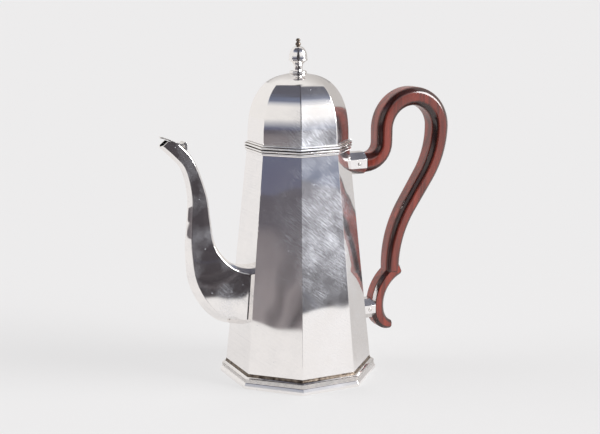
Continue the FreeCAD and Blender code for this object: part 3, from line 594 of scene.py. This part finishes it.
spout = bmesh.new()
arrises = tube(spout, spout_rings)
bevel(spout, edges_past(arrises, ARRIS), 0.5)
for point, outward in TRIMS:
    bmesh.ops.bisect_plane(spout, geom=spout.verts[:] + spout.edges[:] + spout.faces[:],
                           plane_co=Vector(point) * MM, plane_no=outward, clear_outer=True)
bmesh.ops.solidify(spout, geom=spout.faces[:], thickness=1.0 * MM)
print("spout box, mm:", [(round(min(axis) / MM, 1), round(max(axis) / MM, 1))
                         for axis in zip(*[vert.co for vert in spout.verts])])
piece("swan_neck", spout, "spout", "pot", spout_silver)

# %% [markdown]
# ### Handle
#
# The handle follows a line drawn with a compass: elbow, riser, arch, long back-curve and spur, with a small scroll
# below. Eight-sided rings are set square across that line every few millimetres. At the socket a ring is regular;
# within six rings it is drawn out sideways, with narrower chamfers, as a hand likes it.

# %% Lines and rings for the handle
def compass_line(x, z, runs, pace=2.5):
    """Points and headings along lines (length, 0) and arcs (radius, turn in degrees)."""
    heading, path = 0.0, [(x, z, 0.0)]
    for length, turn in runs:
        sweep = math.radians(turn)
        reach = abs(sweep) * length if turn else length
        count = max(1, round(reach / pace))
        for _ in range(count):
            step, half = reach / count, sweep / count / 2
            chord = 2 * length * abs(math.sin(half)) if turn else step
            x += chord * math.cos(heading + half)
            z += chord * math.sin(heading + half)
            heading += 2 * half
            path.append((x, z, heading))
    return path


def cross_ring(x, z, heading, apothem, drawn_out=1.0):
    """Eight corners square across a heading, in metres: regular at 0, drawn out sideways at 1."""
    across = Vector((math.sin(heading), 0, -math.cos(heading)))
    in_plane, sideways = apothem * (1 - 0.13 * drawn_out), apothem * (1 + 0.11 * drawn_out)
    # 0.586 makes all eight sides of a regular ring equal
    chamfer = apothem * (0.586 - 0.16 * drawn_out)
    quarter = [(in_plane, sideways - chamfer), (in_plane - chamfer, sideways)]
    half = quarter + [(-along, aside) for along, aside in reversed(quarter)]
    around = half + [(-along, -aside) for along, aside in half]
    return [(Vector((x, 0, z)) + across * along + Vector((0, aside, 0))) * MM for along, aside in around]


START = (53.66, 156.0)
RUNS = [(2.2, 0), (14.5, 90), (9.5, 0), (24.3, -180), (70.0, -33), (27.0, 0), (85.0, 33), (4.3, 0)]
# Half thickness at the elbow, at the end of the arch and at the spur
ELBOW, ARCH, SPUR = 7.6, 8.3, 6.6
RINGS_TO_DRAW_OUT = 6

path = compass_line(*START, RUNS)
arch_end = len(compass_line(*START, RUNS[:4])) - 1
grip = []
for number, (x, z, heading) in enumerate(path):
    if number <= arch_end:
        apothem = ELBOW + (ARCH - ELBOW) * number / arch_end
    else:
        apothem = ARCH + (SPUR - ARCH) * (number - arch_end) / (len(path) - 1 - arch_end)
    grip.append(cross_ring(x, z, heading, apothem, min(number / RINGS_TO_DRAW_OUT, 1.0)))
print("rings along the grip:", len(grip))

# %% [markdown]
# The scroll below the spur is two arcs that meet without a kink, because both centres lie on one line through the
# place where they meet. Along the second arc it grows thinner.

# %% Scroll
WIDE_RADIUS, CURL_RADIUS = 30.5, 14.5
# Angles about the centres, in degrees, at which the scroll begins, changes its centre and ends
BEGINS, CHANGES, ENDS = 112, 190, 266
ARC_STEPS = 16
# Half thickness at the start, and by how much less it is at the tip
SCROLL, THINNING = 6.2, 2.7

spur_x, spur_z = path[-1][:2]
wide_centre = (spur_x + 17.5, spur_z - 25.5)
shift = WIDE_RADIUS - CURL_RADIUS
change = math.radians(CHANGES)
curl_centre = (wide_centre[0] + shift * math.cos(change), wide_centre[1] + shift * math.sin(change))
scroll = []
for step in range(2 * ARC_STEPS + 1):
    on_wide = min(step / ARC_STEPS, 1.0)
    on_curl = max(step / ARC_STEPS - 1.0, 0.0)
    angle = math.radians(BEGINS + (CHANGES - BEGINS) * on_wide + (ENDS - CHANGES) * on_curl)
    centre, radius = (wide_centre, WIDE_RADIUS) if step <= ARC_STEPS else (curl_centre, CURL_RADIUS)
    scroll.append(cross_ring(centre[0] + radius * math.cos(angle), centre[1] + radius * math.sin(angle),
                             angle + math.pi / 2, SCROLL - THINNING * on_curl ** 2))
print("rings along the scroll:", len(scroll))

# %% [markdown]
# Wood is shaped with a spokeshave and held a great deal, so the handle's arrises are rounded far more than those
# of the silver. Its mesh also carries the attribute of painted shade that the rosewood asks for: 0 on the flats,
# which face sideways or along the handle's own plane, and most on the chamfers that slant between them.

# %% Handle
# Painted shade on the chamfers: the slant where it begins, how far it spreads, and its most
SHADE_BEGINS, SHADE_SPREAD, MOST_SHADE = 0.04, 0.4, 0.85

handle = bmesh.new()
for rings, rounding in ((grip, 1.4), (scroll, 0.6)):
    along = tube(handle, rings)
    bevel(handle, edges_past(along, ARRIS), rounding, 4)
bmesh.ops.holes_fill(handle, edges=handle.edges, sides=0)
# Only the rims of the filled ends turn by more than this, in degrees
END_RIM = 50
bevel(handle, edges_past(handle.edges, END_RIM), 1.2, 3)
handle.normal_update()
# Painted shade, from how far each corner's normal slants between the flats
slant_shade = handle.verts.layers.float.new("painted_chamfer_shade")
for vert in handle.verts:
    slant = 1 - abs(2 * vert.normal.y ** 2 - 1)
    vert[slant_shade] = MOST_SHADE * min(max((slant - SHADE_BEGINS) / SHADE_SPREAD, 0.0), 1.0)
piece("handle_scrolls", handle, "wooden_handle", "pot", wax_polished_rosewood)

# %% [markdown]
# ## Pieces taken over as they are
#
# The bottom plate, the finial's stud, washer and nut, and the two hinge pins keep their CAD shape and only get a
# finish.

# %% Carried-over pieces
for node in ("base_plate", "finial_stud", "finial_washer", "finial_nut", "lid_hinge_pin", "flap_hinge_pin"):
    finish = polished_silver if node == "base_plate" else fitting_silver
    for material_slot in nodes[node].material_slots:
        material_slot.material = finish
print("carried over with a finish:", len([node for node in nodes.values() if not node.hide_render]))

# %% [markdown]
# ## Stage
#
# The pot stands on a sheet of white paper that runs on without an end. Silver mustn't see it so, because in an
# endless white room it looks like white plastic. For reflections, the paper is a table top that ends a little way
# in front of the pot, and a darker room lies beyond. This is why the front faces are pale below and dark above.

# %% Floor
# Level directions: to the camera, to the camera's right, and to the side on which the tent is dimmer
TOWARDS_CAMERA = (-0.4384, -0.8988, 0.0)
TO_THE_RIGHT = (0.8988, -0.4384, 0.0)
DIM_SIDE = (0.8988, 0.4384, 0.0)

floor_shape = bmesh.new()
bmesh.ops.create_grid(floor_shape, x_segments=1, y_segments=1, size=30.0)
floor_mesh = bpy.data.meshes.new("floor")
floor_shape.to_mesh(floor_mesh)
floor_shape.free()
floor = bpy.data.objects.new("floor", floor_mesh)
bpy.context.collection.objects.link(floor)
print("floor:", floor.name)

# %% [markdown]
# The table's end is a mask: 0 on the table and 1 beyond it. Its edge lies 0.36 m ahead, but silver faces look at
# it along slanting lines, so its plan decides where each face turns dark. A tongue to the left runs on and keeps
# the wall beside the spout pale, and a gap ahead brings the room closer and draws the dark line at the spout's
# root. Two slanting edges end the dark on the right, so that the upper ferrule and the foot's corner stay pale.

# %% Where the table ends
EDGE, EDGE_BLUR = 0.36, 0.008
SLANTING_EDGES = [((-0.718, -0.696, 0.0), 0.187), ((-0.85, -0.53, 0.0), 0.05)]

paper, tree, output = new_material("matt_white_paper")
place = add(tree, "ShaderNodeTexCoord").outputs["Object"]
ahead = add(tree, "ShaderNodeVectorMath", {0: place, 1: TOWARDS_CAMERA}, operation="DOT_PRODUCT")
bearing = add(tree, "ShaderNodeVectorMath", {0: place}, operation="NORMALIZE")
across = add(tree, "ShaderNodeVectorMath", {0: bearing.outputs[0], 1: TO_THE_RIGHT}, operation="DOT_PRODUCT")
from_tongue = add(tree, "ShaderNodeMath", {0: across.outputs["Value"], 1: -0.3}, operation="SUBTRACT")
off_tongue = add(tree, "ShaderNodeMath", {0: from_tongue.outputs[0]}, operation="ABSOLUTE")
tongue = add(tree, "ShaderNodeMapRange", {"Value": off_tongue.outputs[0], "From Min": 0.14, "From Max": 0.1,
                                          "To Max": 0.9})
from_gap = add(tree, "ShaderNodeMath", {0: across.outputs["Value"], 1: 0.1}, operation="SUBTRACT")
off_gap = add(tree, "ShaderNodeMath", {0: from_gap.outputs[0]}, operation="ABSOLUTE")
gap = add(tree, "ShaderNodeMapRange", {"Value": off_gap.outputs[0], "From Min": 0.3, "From Max": 0.2,
                                       "To Max": 0.33})
nearer = add(tree, "ShaderNodeMath", {0: ahead.outputs["Value"], 1: gap.outputs[0]}, operation="ADD")
past_edge = add(tree, "ShaderNodeMath", {0: nearer.outputs[0], 1: tongue.outputs[0]}, operation="SUBTRACT")
beyond = add(tree, "ShaderNodeMapRange", {"Value": past_edge.outputs[0], "From Min": EDGE - EDGE_BLUR,
                                          "From Max": EDGE + EDGE_BLUR})
for facing, distance in SLANTING_EDGES:
    reach = add(tree, "ShaderNodeVectorMath", {0: place, 1: facing}, operation="DOT_PRODUCT")
    past = add(tree, "ShaderNodeMapRange", {"Value": reach.outputs["Value"], "From Min": distance - EDGE_BLUR,
                                            "From Max": distance + EDGE_BLUR})
    beyond = add(tree, "ShaderNodeMath", {0: beyond.outputs[0], 1: past.outputs[0]}, operation="MULTIPLY")
print("the table ends", EDGE, "m ahead of the pot")

# %% [markdown]
# On the table, a share of matt white paper takes the lamps' light and the pot's soft shadow. The larger share is
# an even glow that only the camera and reflections see, and that keeps the ground pale. In reflections the glow is
# dimmer towards one side, so that neighbouring faces of the pot differ.

# %% Paper
GLOW = 0.76
rays = add(tree, "ShaderNodeLightPath")
in_picture = rays.outputs["Is Camera Ray"]
looked_at = add(tree, "ShaderNodeMath", {0: in_picture, 1: rays.outputs["Is Glossy Ray"]}, operation="MAXIMUM")
glow = add(tree, "ShaderNodeMath", {0: looked_at.outputs[0], 1: GLOW}, operation="MULTIPLY")
sheet = add(tree, "ShaderNodeBsdfDiffuse", {"Color": linear("#EBEAEA")})
sideward = add(tree, "ShaderNodeVectorMath", {0: bearing.outputs[0], 1: DIM_SIDE}, operation="DOT_PRODUCT")
dimmed = add(tree, "ShaderNodeMapRange", {"Value": sideward.outputs["Value"], "From Min": 0.5, "From Max": 0.95})
in_metal = add(tree, "ShaderNodeMix", {"Factor": dimmed.outputs[0], "A": linear("#F7F5F4"),
                                       "B": linear("#C2BEBB")}, data_type="RGBA")
paleness = add(tree, "ShaderNodeMix", {"Factor": in_picture, "A": in_metal.outputs["Result"],
                                       "B": linear("#EDECEC")}, data_type="RGBA")
pale = add(tree, "ShaderNodeEmission", {"Color": paleness.outputs["Result"], "Strength": 1.0})
table = add(tree, "ShaderNodeMixShader", {0: glow.outputs[0], 1: sheet.outputs[0], 2: pale.outputs[0]})
print("share of the paper that glows:", GLOW)

# %% [markdown]
# Beyond the table lies the floor of the dark room. Its tone changes with the bearing, in narrow streaks that a
# flat upright face shows as soft columns, greyer to the left and bluer to the right. Far off it fades into haze,
# and straight ahead it is darkest. The camera itself never sees this room: for it, the paper goes on.

# %% The dark floor beyond
streaking = add(tree, "ShaderNodeTexNoise", {"Vector": bearing.outputs[0], "Scale": 26.0, "Detail": 2.0})
rightward = add(tree, "ShaderNodeSeparateXYZ", {0: bearing.outputs[0]})
mottle = add(tree, "ShaderNodeMath", {0: rightward.outputs["X"], 1: 0.35, 2: streaking.outputs[0]},
             operation="MULTIPLY_ADD")
gloom = add(tree, "ShaderNodeValToRGB", {"Fac": mottle.outputs[0]})
gloom_stops = gloom.color_ramp.elements
gloom_stops[0].position, gloom_stops[0].color = 0.05, linear("#968F91")
gloom_stops[1].position, gloom_stops[1].color = 0.9, linear("#8086A2")
for position, colour in ((0.45, "#454043"), (0.64, "#3E393C")):
    gloom_stops.new(position).color = linear(colour)
away = add(tree, "ShaderNodeVectorMath", {0: place}, operation="LENGTH")
far = add(tree, "ShaderNodeMapRange", {"Value": away.outputs["Value"], "From Min": 0.6, "From Max": 4.0})
hazy = add(tree, "ShaderNodeMix", {"Factor": far.outputs[0], "A": gloom.outputs[0], "B": linear("#615D64")},
           data_type="RGBA")
off_axis = add(tree, "ShaderNodeMath", {0: across.outputs["Value"]}, operation="ABSOLUTE")
straight_ahead = add(tree, "ShaderNodeMapRange", {"Value": off_axis.outputs[0], "From Min": 0.5, "From Max": 0.35})
darkest = add(tree, "ShaderNodeMix", {"Factor": straight_ahead.outputs[0], "A": hazy.outputs["Result"],
                                      "B": linear("#3C383A")}, data_type="RGBA")
room = add(tree, "ShaderNodeEmission", {"Color": darkest.outputs["Result"], "Strength": 1.0})
elsewhere = add(tree, "ShaderNodeMath", {0: 1.0, 1: in_picture}, operation="SUBTRACT")
off_table = add(tree, "ShaderNodeMath", {0: beyond.outputs[0], 1: elsewhere.outputs[0]}, operation="MULTIPLY")
ground = add(tree, "ShaderNodeMixShader", {0: off_table.outputs[0], 1: table.outputs[0], 2: room.outputs[0]})
tree.links.new(ground.outputs[0], output.inputs["Surface"])
floor_mesh.materials.append(paper)
print("ground:", paper.name)

# %% [markdown]
# The world is a soft white tent behind and over the pot, open on the camera's side. There a bright strip of window
# runs between a sill and a head whose edges waver a little, with the dark room below and above it and a dark column
# straight ahead. The dome bends inwards as it rises, so it shows the room, the window and the room again.

# %% The window in the dark room
world = bpy.data.worlds.new("studio")
bpy.context.scene.world = world
world.use_nodes = True
sky = world.node_tree
sky.nodes.clear()
sky_output = sky.nodes.new("ShaderNodeOutputWorld")
direction = add(sky, "ShaderNodeTexCoord").outputs["Generated"]
height = add(sky, "ShaderNodeSeparateXYZ", {0: direction}).outputs["Z"]
front = add(sky, "ShaderNodeVectorMath", {0: direction, 1: TOWARDS_CAMERA}, operation="DOT_PRODUCT")
leaning = add(sky, "ShaderNodeMath", {0: height, 1: 0.55, 2: front.outputs["Value"]}, operation="MULTIPLY_ADD")
on_front = add(sky, "ShaderNodeMapRange", {"Value": leaning.outputs[0], "From Min": 0.3, "From Max": 0.38})
blots = add(sky, "ShaderNodeTexNoise", {"Vector": direction, "Scale": 7.0, "Detail": 3.0})
wavering = add(sky, "ShaderNodeMath", {0: blots.outputs[0], 1: 0.14, 2: height}, operation="MULTIPLY_ADD")
over_sill = add(sky, "ShaderNodeMapRange", {"Value": wavering.outputs[0], "From Min": 0.1, "From Max": 0.26})
under_head = add(sky, "ShaderNodeMapRange", {"Value": wavering.outputs[0], "From Min": 0.73, "From Max": 0.54})
window = add(sky, "ShaderNodeMath", {0: over_sill.outputs[0], 1: under_head.outputs[0]}, operation="MULTIPLY")
dim = add(sky, "ShaderNodeMath", {0: 1.0, 1: window.outputs[0]}, operation="SUBTRACT")
sideways = add(sky, "ShaderNodeVectorMath", {0: direction, 1: TO_THE_RIGHT}, operation="DOT_PRODUCT")
off_centre = add(sky, "ShaderNodeMath", {0: sideways.outputs["Value"]}, operation="ABSOLUTE")
tapering = add(sky, "ShaderNodeMath", {0: height, 1: 0.45, 2: off_centre.outputs[0]}, operation="MULTIPLY_ADD")
column = add(sky, "ShaderNodeMapRange", {"Value": tapering.outputs[0], "From Min": 0.56, "From Max": 0.50})
blocked = add(sky, "ShaderNodeMath", {0: dim.outputs[0], 1: column.outputs[0]}, operation="MAXIMUM")
dark = add(sky, "ShaderNodeMath", {0: blocked.outputs[0], 1: on_front.outputs[0]}, operation="MULTIPLY")
print("world:", world.name)

# %% [markdown]
# The dark room is greyish at its foot and its top and blue between them, as a room is that gets its light from the
# sky. The tent is nearly white and, like the paper, dimmer on one side.

# %% Colours of the room and the tent
level = add(sky, "ShaderNodeMath", {0: blots.outputs[0], 1: 0.4, 2: height}, operation="MULTIPLY_ADD")
dusk = add(sky, "ShaderNodeValToRGB", {"Fac": level.outputs[0]})
dusk_stops = dusk.color_ramp.elements
dusk_stops[0].position, dusk_stops[0].color = 0.14, linear("#6C6A7C")
dusk_stops[1].position, dusk_stops[1].color = 0.98, linear("#5F5F69")
for position, colour in ((0.26, "#5E6780"), (0.82, "#78829C")):
    dusk_stops.new(position).color = linear(colour)
with_column = add(sky, "ShaderNodeMix", {"Factor": column.outputs[0], "A": dusk.outputs[0],
                                         "B": linear("#3C383A")}, data_type="RGBA")
to_dim_side = add(sky, "ShaderNodeVectorMath", {0: direction, 1: DIM_SIDE}, operation="DOT_PRODUCT")
shaded = add(sky, "ShaderNodeMapRange", {"Value": to_dim_side.outputs["Value"], "From Min": 0.35,
                                         "From Max": 0.85})
tent = add(sky, "ShaderNodeMix", {"Factor": shaded.outputs[0], "A": linear("#F4F2F0"), "B": linear("#C4C0BD")},
           data_type="RGBA")
surroundings = add(sky, "ShaderNodeMix", {"Factor": dark.outputs[0], "A": tent.outputs["Result"],
                                          "B": with_column.outputs["Result"]}, data_type="RGBA")
print("tones in the dark room:", len(dusk_stops))

# %% [markdown]
# Three kinds of ray meet the world, and each gets its own answer. Reflections see the tent and the room, the camera
# sees a plain pale ground, and matt surfaces get an even dim light from all round, so that the lamps shape them.

# %% What each ray sees
sky_rays = add(sky, "ShaderNodeLightPath")
seen = add(sky, "ShaderNodeBackground", {"Color": linear("#ECEBEB"), "Strength": 1.0})
shining = add(sky, "ShaderNodeBackground", {"Color": surroundings.outputs["Result"], "Strength": 1.0})
around = add(sky, "ShaderNodeBackground", {"Color": linear("#5A5A5E"), "Strength": 1.0})
lighting = add(sky, "ShaderNodeMixShader", {0: sky_rays.outputs["Is Glossy Ray"], 1: around.outputs[0],
                                            2: shining.outputs[0]})
by_ray = add(sky, "ShaderNodeMixShader", {0: sky_rays.outputs["Is Camera Ray"], 1: lighting.outputs[0],
                                          2: seen.outputs[0]})
sky.links.new(by_ray.outputs[0], sky_output.inputs["Surface"])
print("nodes in the world:", len(sky.nodes))

# %% [markdown]
# Three wide, soft suns light the pot. The key from the right is the only one that silver shows, and it makes the
# haze on the rubbed faces visible. The rim light from the left and behind shapes the wood, and the overhead one
# gives the faint shadow on the paper.

# %% Lamps
def daylight(name, direction, softness, strength, in_silver=False):
    """A sun lamp from a direction, so many degrees wide; silver shows it only where in_silver is true."""
    lamp = bpy.data.lights.new(name, "SUN")
    lamp.angle, lamp.energy = math.radians(softness), strength
    sun = bpy.data.objects.new(name, lamp)
    bpy.context.collection.objects.link(sun)
    sun.rotation_euler = Vector(direction).to_track_quat("Z", "Y").to_euler()
    sun.visible_glossy = in_silver
    return sun


suns = [daylight("key", (1.0, -0.75, 0.5), softness=36, strength=3.9, in_silver=True),
        daylight("rim", (-1.0, 0.5, 0.5), softness=40, strength=1.8),
        daylight("overhead", (-0.1, 0.6, 1.0), softness=50, strength=0.8)]
print("lamps:", [sun.name for sun in suns])

# %% [markdown]
# ## Camera
#
# The camera stands less than a metre away, somewhat above the lid and to the left, and looks slightly down. From
# there the pot turns an edge between two faces to the viewer, and the spout and the handle both show.

# %% Camera
# In degrees
LOOKS_DOWN, TURNED = 11.93, -26.08
lens = bpy.data.cameras.new("camera")
lens.lens, lens.sensor_width = 71.75, 36.0
camera = bpy.data.objects.new("camera", lens)
bpy.context.collection.objects.link(camera)
camera.location = (-0.38073, -0.78096, 0.30204)
camera.rotation_euler = (math.radians(90 - LOOKS_DOWN), 0, math.radians(TURNED))
bpy.context.scene.camera = camera
bpy.context.scene.view_settings.view_transform = "Standard"
print("camera, m from the pot's axis:", round(math.hypot(camera.location.x, camera.location.y), 2))
